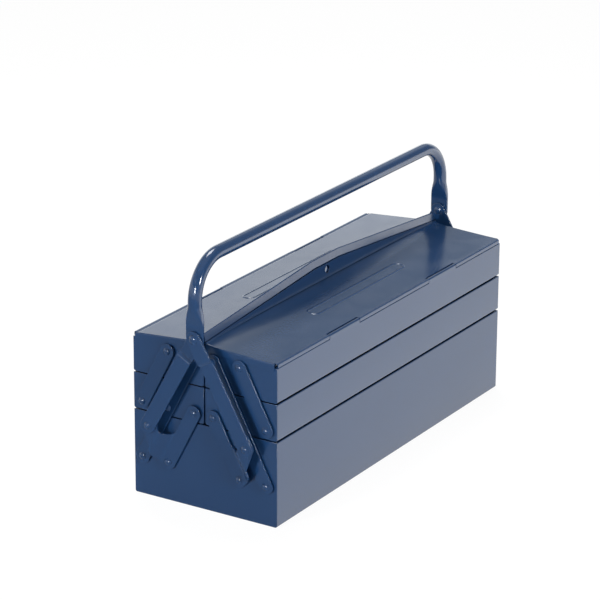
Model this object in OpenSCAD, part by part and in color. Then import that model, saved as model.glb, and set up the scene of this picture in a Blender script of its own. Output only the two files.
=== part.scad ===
// Cantilever tool box in sheet steel: one deep base tray, two middle trays, two
// top trays with hinged lids, riveted link arms on both ends and a tube handle.
// +X runs along the box to the right, -Y is the front, +Z is up.
// The origin is the middle of the base tray's underside.

/* [Box] */
// Length over the tray end panels
box_len = 530; // [430:10:640]
// Width over the long walls
box_w = 200; // [180:2:230]
// Thickness of the tray and lid sheet
sheet = 1; // [0.8:0.1:1.2]
// Outside radius of the bends along the tray floors
bend_r = 2.5; // [1.5:0.1:4]
// Gap between stacked trays
tray_gap = 1.5; // [1:0.1:2.5]
// Gap between the front and the rear trays
centre_gap = 2; // [1.6:0.1:3]

/* [Trays] */
// Height of the base tray
base_h = 106.5; // [90:0.5:130]
// Height of a middle tray
mid_h = 45.3; // [40:0.1:55]
// Height of a top tray's long walls
top_h = 43.2; // [38:0.1:52]
// Depth of the folded hem along each rim
hem_h = 8; // [5:0.5:12]
// Depth of the flanges that join the end panels to the walls
seam_w = 10; // [6:0.5:16]

/* [Lids] */
// Rise of a lid from its hinge to the middle of the box
lid_rise = 7.3; // [5:0.1:10]
// Height of the ridge above a lid, at the middle
ridge_h = 30.3; // [24:0.1:34]
// Height of the ridge above a lid, at the ends
ridge_end_h = 10.5; // [10:0.1:14]
// Length of the level stretch at the top of the ridge
ridge_flat = 58; // [30:1:120]
// How far the rear lid's ridge stands above the front lid's
ridge_step = 10.2; // [8:0.1:10.4]
// Gap between the ridges of the closed lids
ridge_gap = 0.6; // [0.4:0.1:1]
// Depth of the lid flange over the end panels
lid_flange_h = 9; // [6:0.1:10]
// Diameter of the padlock hole through both ridges
padlock_d = 10; // [6:0.5:11]
// Height of the padlock hole's centre above the lid
padlock_up = 11.5; // [9:0.1:12.5]
// Length of the pressed bead on each lid
bead_len = 214; // [120:1:300]
// Width of the pressed bead on each lid
bead_w = 18; // [12:0.5:30]
// Distance of the pressed bead from the middle of the box
bead_in = 46; // [34:0.5:60]

/* [Hinges] */
// Outside radius of the hinge barrel
barrel_r = 2.5; // [2.4:0.1:3]
// Radius of the hinge wire
wire_r = 1.4; // [1:0.05:1.45]
// Radial clearance of the lid knuckles on the wire
wire_clear = 0.08; // [0.05:0.01:0.1]
// Length of the lid's middle knuckle
mid_knuckle = 164; // [60:1:200]
// Length of each of the tray's knuckles
tray_knuckle = 67; // [50:1:120]
// Gap between knuckles
knuckle_gap = 1; // [0.6:0.1:2]
// Clearance under the barrel and around its cut-outs
barrel_clear = 0.4; // [0.3:0.1:0.8]

/* [Links] */
// Width of the link bars
link_w = 18.5; // [16:0.5:22]
// Thickness of the link bars
link_t = 2.2; // [2:0.1:2.6]
// Distance of the outermost pivots from the long walls
pivot_inset = 13.5; // [12.5:0.1:16]
// Height of the middle trays' pivots above their floor
pivot_up = 11.8; // [10:0.1:14]
// How much higher a top tray's pivots sit than a middle tray's
pivot_step = 23; // [18:0.1:26]
// Thickness of the washers behind the links
washer_t = 1.4; // [1.4:0.1:2]
// Radius of the washers behind the links
washer_r = 7; // [5.5:0.1:8]
// Gap between faces that turn on each other
run_gap = 0.1; // [0.05:0.01:0.2]
// Radial clearance of a link on its rivet
rivet_clear = 0.08; // [0.05:0.01:0.1]

/* [Rivets] */
// Shank radius of the link rivets
rivet_r = 2.5; // [2:0.1:3]
// Radius of a link rivet's head
head_r = 4.8; // [4:0.1:6]
// Height of a link rivet's head
head_h = 2.5; // [1.8:0.1:3]
// Radius of a link rivet's closed end
tail_r = 4; // [3.5:0.1:5]
// Height of a link rivet's closed end
tail_h = 1.4; // [1:0.1:2]

/* [Handle arms] */
// Outward step from a wing's lower pivot to its pin
wing_out = 18; // [15:0.5:20]
// Height of a wing's pin above its lower pivot
wing_up = 48; // [44:0.5:52]
// Height of the wing over the link plane
wing_rise = 13.3; // [11:0.1:15]
// Width of the slope that lifts the wing over the long link
wing_slope = 12.5; // [10:0.5:16]
// Distance of that slope from the edge of the link
wing_bend = 2; // [1:0.1:4]
// Height of the round notch beside the wing's pin above its lower pivot
notch_up = 43; // [40:0.5:50]
// Distance of the wing's rounded lower corner across and along the link
wing_lobe = [16, 7]; // [4:0.5:20]
// Length of a handle arm between its pivots
arm_len = 140; // [130:1:150]
// Width of a handle arm
arm_w = 19.5; // [16:0.5:22]
// Thickness of a handle arm
arm_t = 2.5; // [2:0.1:3]
// Side gap between a handle arm and the handle's flat
arm_gap = 0.2; // [0.1:0.05:0.4]
// Shank radius of the apex rivets
apex_r = 3; // [2.5:0.1:3.5]
// Sideways play of the apex rivet in the rear arms' slot
apex_play = 4.7; // [4.5:0.1:5]
// Clearance above and below the apex rivet in that slot
slot_clear = 1.4; // [1.35:0.05:1.6]
// Radius of the washer that covers the slot
apex_washer_r = 9; // [8.5:0.1:10]
// Thickness of the washer that covers the slot
apex_washer_t = 0.5; // [0.3:0.05:0.6]

/* [Handle] */
// Outside radius of the handle tube
tube_r = 8; // [7:0.1:9]
// Wall of the handle tube
tube_wall = 1.5; // [1:0.1:2]
// Height of the grip above the apex rivets
grip_up = 92; // [84:1:110]
// Bend radius of the tube, on its centre line
handle_bend = 48; // [40:1:60]
// Thickness of the flattened tube ends
flat_t = 3.5; // [3:0.1:4]
// Width of the flattened tube ends
flat_w = 24; // [20:0.5:26]
// Height of the flattened ends above the apex rivets
flat_up = 17; // [14:0.5:22]

/* [Hidden] */
$fn = 48;
paint = [0.16, 0.26, 0.42];
deep_paint = [0.12, 0.20, 0.35];
zinc = [0.70, 0.71, 0.73];
eps = 0.01;
hull_fn = 32;

half_len = box_len / 2;
half_w = box_w / 2;
wall_in = centre_gap / 2;

mid_floor = base_h + tray_gap;
top_floor = mid_floor + mid_h + tray_gap;
top_rim = top_floor + top_h;

// Hinge axis, and the lid surface that runs tangent to the barrel's top
hinge_y = half_w - barrel_r;
hinge_z = top_rim + barrel_clear + barrel_r;
lid_z = hinge_z + barrel_r;
lid_seat = 0.3;
flange_gap = 0.2;
lid_half = half_len + flange_gap + sheet;
hinge_half = half_len - 2.5;
cut_back = hinge_y - barrel_r - 0.6;
panel_y = hinge_y - barrel_r / 2;
ridge_hem = ridge_step - ridge_gap;
front_ridge_y = ridge_gap + 2 * sheet;
rear_ridge_y = -sheet;
bead_h = 0.6;
bead_rim = 2.4;

// Pivot rows of the link gear, as distances from the middle and heights
pivot_pitch = (half_w - 2 * pivot_inset) / 2;
near_y = pivot_inset;
half_y = pivot_inset + pivot_pitch;
far_y = half_w - pivot_inset;
mid_pivot_z = mid_floor + pivot_up;
pivot_rise = mid_h + tray_gap + pivot_step;
base_pivot_z = mid_pivot_z - pivot_rise;
top_pivot_z = mid_pivot_z + pivot_rise;
lean = atan2(pivot_pitch, pivot_rise);
link_len = norm([pivot_pitch, pivot_rise]);
notch_lip = 1;

// Planes outside an end panel
link_s = washer_t + run_gap;
head_s = link_s + link_t + run_gap;
wing_s = link_s + wing_rise;
arm_s = wing_s + link_t + run_gap;
mid_s = arm_s + arm_t / 2;
apex_step = (flat_t + arm_t) / 2 + arm_gap;
leg_x = half_len + mid_s;

// Seats of the apex rivets, outside the outer arm and inside the inner arm
apex_head_s = mid_s + apex_step + arm_t / 2 + run_gap;
apex_tail_s = mid_s - apex_step - arm_t / 2 - run_gap;

// Handle gear in the end view
wing_pin = [half_y + wing_out, base_pivot_z + wing_up];
apex_z = wing_pin[1] + sqrt(arm_len * arm_len - wing_pin[0] * wing_pin[0]);
apex = [0, apex_z];
arm_angle = 90 + atan2(wing_pin[0], apex_z - wing_pin[1]);
joggle_start = 34;
joggle_len = 7;
grip_z = apex_z + grip_up;

// ---- Placing: side is -1 at the front and 1 at the rear, end is -1 at the left ----

module on_side(side) {
    if (side < 0) mirror([0, 1, 0]) children();
    else children();
}

module on_end(end) {
    if (end < 0) mirror([1, 0, 0]) children();
    else children();
}

// Extrudes an outline drawn in (y, z) from x0 over a length
module across_x(x0, length) {
    translate([x0, 0, 0]) rotate([90, 0, 90]) linear_extrude(length) children();
}

// Extrudes an outline drawn in (x, z) from y0 over a thickness
module across_y(y0, thick) {
    translate([0, y0 + thick, 0]) rotate([90, 0, 0]) linear_extrude(thick) children();
}

// A plate outside an end panel, at a standoff
module end_plate(end, side, standoff, thick) {
    on_end(end) on_side(side) across_x(half_len + standoff, thick) children();
}

// ---- Outlines ----

// A bar with round ends between two points; its straight part is a hair narrower
// than its ends, so that the two cut each other cleanly
module bar_2d(p, q, width) {
    d = q - p;
    straight = width - 2 * eps;
    translate(p) circle(d = width);
    translate(q) circle(d = width);
    translate(p) rotate(atan2(d[1], d[0])) translate([0, -straight / 2]) square([norm(d), straight]);
}

// A box section with its two lower corners rounded
module tray_2d(y0, y1, z0, z1, r) {
    translate([y0, z0 + r]) square([y1 - y0, z1 - z0 - r]);
    translate([y0 + r, z0]) square([y1 - y0 - 2 * r, r + eps]);
    for (y = [y0 + r, y1 - r]) translate([y, z0 + r]) circle(r);
}

// Wall, hem and rolled edge of a rim; the hem lies on the side that dir points to
module rim_2d(y, z_top, dir) {
    low = dir > 0 ? y : y - 2 * sheet;
    translate([low, z_top - hem_h]) square([2 * sheet, hem_h - sheet]);
    translate([low + sheet, z_top - sheet]) circle(sheet);
}

// Section of a folded tray
module trough_2d(y0, y1, z0, height) {
    difference() {
        tray_2d(y0, y1, z0, z0 + height - sheet, bend_r);
        tray_2d(y0 + sheet, y1 - sheet, z0 + sheet, z0 + height + 1, bend_r - sheet);
    }
    rim_2d(y0, z0 + height, 1);
    rim_2d(y1, z0 + height, -1);
}

// Plate section with one joggle, as points [standoff, distance along the plate]
function joggle(a0, a1, a2, a3, s0, s1, t) =
    let (d = t * tan(atan2(s1 - s0, a2 - a1) / 2) / 2)
    [[s0, a0], [s0, a1 + d], [s1, a2 + d], [s1, a3],
     [s1 + t, a3], [s1 + t, a2 - d], [s0 + t, a1 - d], [s0 + t, a0]];

// Half section of a rivet head
module dome_2d(r, h) {
    ball = (r * r + h * h) / (2 * h);
    intersection() {
        translate([0, h - ball]) circle(ball);
        square([r, h]);
    }
}

// ---- Rivets and washers ----

// A rivet along +X, with its closed end's face at s0 and its head's seat at s1
module rivet(s0, s1, r, r_head, h_head, r_tail, h_tail) {
    rotate([0, 90, 0]) rotate_extrude() {
        translate([0, s0]) square([r, s1 - s0]);
        translate([0, s1]) dome_2d(r_head, h_head);
        translate([0, s0]) mirror([0, 1]) dome_2d(r_tail, h_tail);
    }
}

module washer(s0, thick, r_out, r_in) {
    translate([s0, 0, 0]) rotate([0, 90, 0]) difference() {
        cylinder(r = r_out, h = thick);
        translate([0, 0, -1]) cylinder(r = r_in, h = thick + 2);
    }
}

// The rivets of one tray: a row of pivots on each end panel
module tray_rivets(side, rows, z) {
    color(deep_paint) for (end = [-1, 1], y = rows)
        on_end(end) on_side(side) translate([half_len, y, z])
            rivet(-sheet, head_s, rivet_r, head_r, head_h, tail_r, tail_h);
}

module tray_washers(side, rows, z) {
    color(deep_paint) for (end = [-1, 1], y = rows)
        on_end(end) on_side(side) translate([half_len, y, z])
            washer(0, washer_t, washer_r, rivet_r);
}

// ---- Trays ----

// End panel: flat outer face, seam flange inside the walls, holes at the pivots
module end_panel(end, side, y0, y1, z0, height, rows, pivot_z) {
    seam_top = z0 + height - hem_h - barrel_clear;
    hem_z = max(z0 + height - hem_h, pivot_z + tail_r + barrel_clear);
    color(paint) on_end(end) on_side(side) {
        across_x(half_len - sheet, sheet) difference() {
            union() {
                tray_2d(y0, y1, z0, z0 + height, bend_r);
                children();
            }
            for (y = rows) translate([y, pivot_z]) circle(rivet_r);
        }
        across_x(half_len - sheet - seam_w, seam_w + eps) difference() {
            tray_2d(y0 + sheet, y1 - sheet, z0 + sheet, seam_top, bend_r - sheet);
            tray_2d(y0 + 2 * sheet, y1 - 2 * sheet, z0 + 2 * sheet, seam_top + 1, sheet / 4);
        }
        across_x(half_len - 2 * sheet, sheet + eps)
            translate([y0 + 2 * sheet, hem_z])
                square([y1 - y0 - 4 * sheet, z0 + height - hem_z]);
    }
}

module trough(side, y0, y1, z0, height) {
    color(paint) on_side(side) across_x(sheet - half_len, box_len - 2 * sheet)
        trough_2d(y0, y1, z0, height);
}

module base_trough() {
    trough(1, -half_w, half_w, 0, base_h);
}

module base_end(end) {
    end_panel(end, 1, -half_w, half_w, 0, base_h, [-far_y, -half_y, half_y, far_y], base_pivot_z);
}

module mid_trough(side) {
    trough(side, wall_in, half_w, mid_floor, mid_h);
}

module mid_end(end, side) {
    end_panel(end, side, wall_in, half_w, mid_floor, mid_h, [near_y, half_y, far_y], mid_pivot_z);
}

// Height of a lid's top surface at a distance from the middle
function lid_top(y) = lid_z + lid_rise * (hinge_y - y) / hinge_y;

// Span of the tray's knuckle to the right of the middle
function tray_knuckle_x() = let (x = mid_knuckle / 2 + knuckle_gap) [x, x + tray_knuckle];

module knuckle(x0, x1, bore_r) {
    translate([x0, hinge_y, hinge_z]) rotate([0, 90, 0]) difference() {
        cylinder(r = barrel_r, h = x1 - x0);
        translate([0, 0, -1]) cylinder(r = bore_r, h = x1 - x0 + 2);
    }
}

module top_trough(side) {
    trough(side, wall_in, half_w, top_floor, top_h);
}

// Barrels on tabs that stand on a top tray's outer wall
module tray_knuckles(side) {
    span = tray_knuckle_x();
    color(paint) on_side(side) for (end = [-1, 1]) on_end(end) {
        knuckle(span[0], span[1], wire_r);
        across_x(span[0], span[1] - span[0]) difference() {
            translate([half_w - sheet, top_rim - sheet / 2])
                square([sheet, hinge_z - top_rim + sheet / 2]);
            translate([half_w - sheet, top_rim - sheet]) circle(sheet);
            translate([hinge_y, hinge_z]) circle((barrel_r + wire_r) / 2);
        }
    }
}

// The top tray's end panel runs up under the lid, inside its flange
module top_end(end, side) {
    seat = sheet + lid_seat;
    y_in = wall_in;
    end_panel(end, side, y_in, half_w, top_floor, top_h, [near_y, half_y], top_pivot_z)
        polygon([[y_in, top_rim - 1], [cut_back, top_rim - 1],
                 [cut_back, lid_top(cut_back) - seat], [y_in, lid_top(y_in) - seat]]);
}

module hinge_wire(side) {
    color(zinc) on_side(side) translate([-hinge_half, hinge_y, hinge_z]) rotate([0, 90, 0])
        cylinder(r = wire_r, h = 2 * hinge_half);
}

// ---- Lids ----

// Outline of a ridge in (x, z): level in the middle, falling straight to the ends
module ridge_2d(z0, z_end, z_mid) {
    polygon([[-lid_half, z0], [lid_half, z0], [lid_half, z_end], [ridge_flat / 2, z_mid],
             [-ridge_flat / 2, z_mid], [-lid_half, z_end]]);
}

// The lid's sloping sheet, without its hinge cut-outs
module lid_sheet(y_in) {
    z_in = lid_top(y_in);
    z_out = lid_top(panel_y);
    across_x(-lid_half, 2 * lid_half) difference() {
        polygon([[panel_y, z_out], [y_in, z_in], [y_in, z_in - sheet], [panel_y, z_out - sheet]]);
        translate([hinge_y, hinge_z]) circle(barrel_r);
    }
}

// Plain pressed bead with round ends
module lid_bead() {
    run = (bead_len - bead_w) / 2;
    translate([0, bead_in, lid_top(bead_in) - sheet / 2]) rotate([-atan2(lid_rise, hinge_y), 0, 0])
        linear_extrude(sheet / 2 + bead_h) difference() {
            bar_2d([-run, 0], [run, 0], bead_w);
            bar_2d([-run, 0], [run, 0], bead_w - 2 * bead_rim);
        }
}

module lid(side, ridge_y) {
    span = tray_knuckle_x();
    gap = knuckle_gap;
    color(paint) on_side(side) difference() {
        union() {
            lid_sheet(ridge_y + sheet);
            lid_bead();
        }
        for (end = [-1, 1]) on_end(end) {
            translate([span[0] - gap, cut_back, lid_z - 2 * barrel_r])
                cube([span[1] - span[0] + 2 * gap, 4 * barrel_r, 4 * barrel_r]);
            translate([hinge_half, cut_back, lid_z - 2 * barrel_r])
                cube([4 * barrel_r, 4 * barrel_r, 4 * barrel_r]);
        }
    }
}

// The flanges bent down at a lid's ends, and the barrels rolled along its outer edge
module lid_edges(side, ridge_y) {
    y_in = ridge_y + sheet;
    z_in = lid_top(y_in) - sheet;
    y_out = cut_back - 1;
    z_out = lid_top(y_out) - sheet;
    drop = lid_flange_h - sheet;
    color(paint) on_side(side) {
        knuckle(-mid_knuckle / 2, mid_knuckle / 2, wire_r + wire_clear);
        for (end = [-1, 1]) on_end(end) {
            knuckle(tray_knuckle_x()[1] + knuckle_gap, hinge_half, wire_r + wire_clear);
            across_x(half_len + flange_gap, sheet)
                polygon([[y_out, z_out], [y_in, z_in], [y_in, z_in - drop], [y_out, z_out - drop]]);
        }
    }
}

// The bent-up inner edge of a lid; a hem is folded toward the front lid
module lid_ridge(side, ridge_y, drop, hem) {
    foot = lid_top(ridge_y);
    z_end = max(foot + ridge_end_h - drop, foot + eps);
    z_mid = foot + ridge_h - drop;
    color(paint) on_side(side) difference() {
        union() {
            across_y(ridge_y, sheet) ridge_2d(foot - sheet, z_end, z_mid);
            if (hem > 0) across_y(ridge_y - sheet, sheet + eps) difference() {
                ridge_2d(foot - sheet, z_end, z_mid);
                translate([0, -hem]) ridge_2d(foot - sheet - 1, z_end, z_mid);
            }
        }
        translate([0, ridge_y - 1, lid_top(0) + padlock_up]) rotate([-90, 0, 0])
            cylinder(d = padlock_d, h = 2 * sheet + 2);
    }
}

// ---- Links ----

module link(end, side, points) {
    color(paint) end_plate(end, side, link_s, link_t) difference() {
        union() {
            for (i = [1 : len(points) - 1]) bar_2d(points[i - 1], points[i], link_w);
        }
        for (p = points) translate(p) circle(rivet_r + rivet_clear);
    }
}

module long_link(end, side) {
    link(end, side, [[far_y, base_pivot_z], [half_y, mid_pivot_z], [near_y, top_pivot_z]]);
}

module upper_link(end, side) {
    link(end, side, [[far_y, mid_pivot_z], [half_y, top_pivot_z]]);
}

// Outline of the lower link with the wing that carries a handle arm; the first
// axis runs across the link and the second along it, from the lower pivot
module wing_2d(pin) {
    notch_r = (pin[0] - arm_w / 2 - link_w / 2) / 2;
    difference() {
        polygon([[0, 0], pin, [pin[0], notch_up - notch_lip], [0, notch_up - notch_lip]]);
        translate([link_w / 2 + notch_r, notch_up]) circle(notch_r);
    }
    bar_2d([0, 0], pin, arm_w);
    bar_2d(pin, [pin[0], notch_up], arm_w);
    bar_2d([0, 0], wing_lobe, link_w);
    bar_2d([0, 0], [0, link_len], link_w);
}

// The wing is joggled outward so that it passes over the long link
module wing_link(end, side) {
    step = wing_pin - [half_y, base_pivot_z];
    pin = [step[0] * cos(lean) + step[1] * sin(lean), step[1] * cos(lean) - step[0] * sin(lean)];
    bend_at = link_w / 2 + wing_bend;
    section = joggle(-link_w, bend_at, bend_at + wing_slope, 2 * link_len, link_s, wing_s, link_t);
    color(paint) on_end(end) on_side(side) translate([half_len, half_y, base_pivot_z])
        rotate([lean, 0, 0]) intersection() {
            across_x(0, wing_s + 2 * link_t) difference() {
                wing_2d(pin);
                for (p = [[0, 0], [0, link_len]]) translate(p) circle(rivet_r + rivet_clear);
                translate(pin) circle(rivet_r);
            }
            linear_extrude(height = 4 * link_len, center = true) polygon(section);
        }
}

module wing_rivets(side) {
    color(deep_paint) for (end = [-1, 1]) on_end(end) on_side(side)
        translate([half_len, wing_pin[0], wing_pin[1]])
            rivet(wing_s, arm_s + arm_t + run_gap, rivet_r, head_r, head_h, tail_r, tail_h);
}

// ---- Handle arms and handle ----

// An arm's apex end is joggled outward or inward, to lie beside the handle's flat
module arm(end, side, dir) {
    bend_at = arm_len - joggle_start;
    section = joggle(-arm_w, bend_at, bend_at + joggle_len, arm_len + arm_w,
                     arm_s, arm_s + dir * apex_step, arm_t);
    color(paint) on_end(end) on_side(side) difference() {
        translate([half_len, wing_pin[0], wing_pin[1]]) rotate([arm_angle, 0, 0]) intersection() {
            across_x(0, arm_s + 3 * apex_step) bar_2d([0, 0], [arm_len, 0], arm_w);
            linear_extrude(height = 2 * arm_w, center = true) polygon(section);
        }
        across_x(half_len, arm_s + 3 * apex_step) {
            translate(wing_pin) circle(rivet_r + rivet_clear);
            if (side > 0) bar_2d(apex - [apex_play, 0], apex + [apex_play, 0], 2 * (apex_r + slot_clear));
            else translate(apex) circle(apex_r + rivet_clear);
        }
    }
}

module apex_rivets() {
    color(deep_paint) for (end = [-1, 1]) on_end(end) translate([half_len, 0, apex_z])
        rivet(apex_tail_s - (end < 0 ? apex_washer_t : 0), apex_head_s + (end > 0 ? apex_washer_t : 0),
              apex_r, head_r + 1, head_h + 0.4, tail_r + 1, tail_h);
}

// A wide washer covers the slot in each rear arm
module apex_washers() {
    color(deep_paint) for (end = [-1, 1]) on_end(end) translate([half_len, 0, apex_z])
        washer(end > 0 ? apex_head_s : apex_tail_s - apex_washer_t, apex_washer_t, apex_washer_r, apex_r);
}

module tube_ring_2d() {
    difference() {
        circle(tube_r);
        circle(tube_r - tube_wall);
    }
}

module handle() {
    bend_x = leg_x - handle_bend;
    bend_z = grip_z - handle_bend;
    flat_z = apex_z + flat_up;
    color(paint) {
        across_x(-bend_x, 2 * bend_x) translate([0, grip_z]) tube_ring_2d();
        for (end = [-1, 1]) on_end(end) {
            translate([bend_x, 0, bend_z]) rotate([90, 0, 0]) rotate_extrude(angle = 90)
                translate([handle_bend, 0]) tube_ring_2d();
            hull() {
                translate([leg_x, 0, bend_z - 1]) linear_extrude(1) circle(tube_r, $fn = hull_fn);
                translate([leg_x - flat_t / 2, -flat_w / 2, flat_z]) cube([flat_t, flat_w, 1]);
            }
            difference() {
                across_x(leg_x - flat_t / 2, flat_t) {
                    translate(apex) circle(d = flat_w);
                    translate([-flat_w / 2, apex_z]) square([flat_w, flat_up + eps]);
                }
                across_x(leg_x - flat_t, 2 * flat_t) translate(apex) circle(apex_r + rivet_clear);
            }
        }
    }
}

base_trough();
base_end(-1);  // base_left_end
base_end(1);  // base_right_end
union() {  // base_rivets
    tray_rivets(1, [-far_y, -half_y, half_y, far_y], base_pivot_z);
}
union() {  // base_washers
    tray_washers(1, [-far_y, -half_y, half_y, far_y], base_pivot_z);
}
mid_trough(-1);  // front_mid_trough
mid_end(-1, -1);  // front_mid_left_end
mid_end(1, -1);  // front_mid_right_end
tray_rivets(-1, [near_y, half_y, far_y], mid_pivot_z);  // front_mid_rivets
tray_washers(-1, [near_y, half_y, far_y], mid_pivot_z);  // front_mid_washers
mid_trough(1);  // rear_mid_trough
mid_end(-1, 1);  // rear_mid_left_end
mid_end(1, 1);  // rear_mid_right_end
tray_rivets(1, [near_y, half_y, far_y], mid_pivot_z);  // rear_mid_rivets
tray_washers(1, [near_y, half_y, far_y], mid_pivot_z);  // rear_mid_washers
top_trough(-1);  // front_top_trough
tray_knuckles(-1);  // front_top_knuckles
top_end(-1, -1);  // front_top_left_end
top_end(1, -1);  // front_top_right_end
tray_rivets(-1, [near_y, half_y], top_pivot_z);  // front_top_rivets
tray_washers(-1, [near_y, half_y], top_pivot_z);  // front_top_washers
hinge_wire(-1);  // front_hinge_wire
top_trough(1);  // rear_top_trough
tray_knuckles(1);  // rear_top_knuckles
top_end(-1, 1);  // rear_top_left_end
top_end(1, 1);  // rear_top_right_end
tray_rivets(1, [near_y, half_y], top_pivot_z);  // rear_top_rivets
tray_washers(1, [near_y, half_y], top_pivot_z);  // rear_top_washers
hinge_wire(1);  // rear_hinge_wire
lid(-1, front_ridge_y);  // front_lid
lid_edges(-1, front_ridge_y);  // front_lid_edges
lid_ridge(-1, front_ridge_y, ridge_step, 0);  // front_lid_ridge
lid(1, rear_ridge_y);  // rear_lid
lid_edges(1, rear_ridge_y);  // rear_lid_edges
lid_ridge(1, rear_ridge_y, 0, ridge_hem);  // rear_lid_ridge
long_link(-1, -1);  // front_long_link_left
long_link(1, -1);  // front_long_link_right
long_link(-1, 1);  // rear_long_link_left
long_link(1, 1);  // rear_long_link_right
upper_link(-1, -1);  // front_upper_link_left
upper_link(1, -1);  // front_upper_link_right
upper_link(-1, 1);  // rear_upper_link_left
upper_link(1, 1);  // rear_upper_link_right
wing_link(-1, -1);  // front_wing_link_left
wing_link(1, -1);  // front_wing_link_right
wing_link(-1, 1);  // rear_wing_link_left
wing_link(1, 1);  // rear_wing_link_right
wing_rivets(-1);  // front_wing_rivets
wing_rivets(1);  // rear_wing_rivets
arm(-1, -1, 1);  // front_arm_left
arm(1, -1, -1);  // front_arm_right
arm(-1, 1, -1);  // rear_arm_left
arm(1, 1, 1);  // rear_arm_right
apex_rivets();
apex_washers();
handle();
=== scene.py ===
import bmesh
import bpy
import numpy as np
from mathutils import Matrix
from mathutils.geometry import delaunay_2d_cdt


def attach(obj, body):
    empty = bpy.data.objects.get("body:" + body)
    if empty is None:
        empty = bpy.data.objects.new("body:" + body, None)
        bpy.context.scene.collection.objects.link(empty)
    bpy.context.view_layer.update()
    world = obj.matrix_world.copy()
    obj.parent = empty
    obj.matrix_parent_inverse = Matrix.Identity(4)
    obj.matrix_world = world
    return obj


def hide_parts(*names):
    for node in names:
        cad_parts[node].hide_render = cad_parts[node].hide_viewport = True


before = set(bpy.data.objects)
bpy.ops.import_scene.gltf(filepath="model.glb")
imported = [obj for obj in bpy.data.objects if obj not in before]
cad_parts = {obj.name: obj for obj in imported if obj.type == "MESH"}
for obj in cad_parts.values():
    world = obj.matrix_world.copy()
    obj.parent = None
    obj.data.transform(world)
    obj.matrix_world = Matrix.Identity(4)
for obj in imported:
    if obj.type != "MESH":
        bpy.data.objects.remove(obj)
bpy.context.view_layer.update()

# ---- Camera ----
# A long lens looks down at twenty degrees on the left end and the front of the
# closed box, from 3.7 metres away. Angles are in degrees, and lengths in metres.
TURN, TILT, ROLL = np.radians([-57.98, 19.91, 0.287])
LENS_AIM = np.array([0.0, 0.0, 0.1])
LENS_AWAY, LENS_LEFT, LENS_LIFT = 3.659, 0.0298, 0.0766
LENS_MM, FILM_MM, SIGHT_END = 177.48, 36, 60


def stand(made, right, up, back, spot):
    """Turns an object to the directions that its own X, Y and Z point in, and moves it to
    a spot: they are the four columns of its matrix."""
    columns = np.stack([right, up, back, spot], 1)
    made.matrix_world = Matrix(np.vstack([columns, [0, 0, 0, 1]]).tolist())


lens_back = np.array([np.sin(TURN) * np.cos(TILT), -np.cos(TURN) * np.cos(TILT), np.sin(TILT)])
level = np.array([np.cos(TURN), np.sin(TURN), 0])
upright = np.cross(lens_back, level)
lens_right = level * np.cos(ROLL) + upright * np.sin(ROLL)
lens_up = upright * np.cos(ROLL) - level * np.sin(ROLL)
lens_spot = LENS_AIM + lens_back * LENS_AWAY - lens_right * LENS_LEFT + lens_up * LENS_LIFT
camera = bpy.data.objects.new("camera", bpy.data.cameras.new("camera"))
camera.data.sensor_width = FILM_MM
camera.data.lens = LENS_MM
camera.data.clip_end = SIGHT_END
bpy.context.scene.collection.objects.link(camera)
stand(camera, lens_right, lens_up, lens_back, lens_spot)
bpy.context.scene.camera = camera

# ---- Studio ----
# A white floor without a seam in a soft surround, with square lamps in front, at the
# left and above. Two cards on the floor and an upright one at the left are seen only
# by the gloss of the enamel; the two on the floor carry painted shade of the box's shadow on the floor.
# Lengths are in metres.
FLOOR_WHITE, FLOOR_GLOW, FLOOR_OWN = 0.93, 1.06, 0.88
FLOOR_REACH, FLOOR_DROP = (-9, 9), -0.0004
BOX_LEFT, BOX_FRONT = -0.2655, -0.1003
FADE_NEAR, FADE_FAR = -0.1, -1.0
AMBIENT = 0.2
LAMP_AIM = (0, 0, 0.15)
bpy.context.scene.view_settings.view_transform = "Standard"


def add_node(tree, kind, x, y, **settings):
    """A node of that kind at a place in the tree; settings are its properties, or its
    inputs where the name starts with in_."""
    made = tree.nodes.new(kind)
    made.location = (x, y)
    for key, value in settings.items():
        if key.startswith("in_"):
            made.inputs[key[3:].replace("_", " ")].default_value = value
        else:
            setattr(made, key, value)
    return made


def flat_sheet(name, x, y, z, material):
    """A level rectangle, the four corners of the spans x and y at height z, in metres; or
    an upright one at x over the spans y and z, where z is a span too."""
    if np.ndim(z):
        corners = [(x, y[0], z[0]), (x, y[1], z[0]), (x, y[1], z[1]), (x, y[0], z[1])]
    else:
        corners = [(x[0], y[0], z), (x[1], y[0], z), (x[1], y[1], z), (x[0], y[1], z)]
    mesh = bpy.data.meshes.new(name)
    mesh.from_pydata(corners, [], [(0, 1, 2, 3)])
    mesh.materials.append(material)
    made = bpy.data.objects.new(name, mesh)
    bpy.context.scene.collection.objects.link(made)
    return made


def blank_material(name):
    """A new material and its node tree, which is empty."""
    made = bpy.data.materials.new(name)
    made.use_nodes = True
    made.node_tree.nodes.clear()
    return made, made.node_tree


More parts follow.
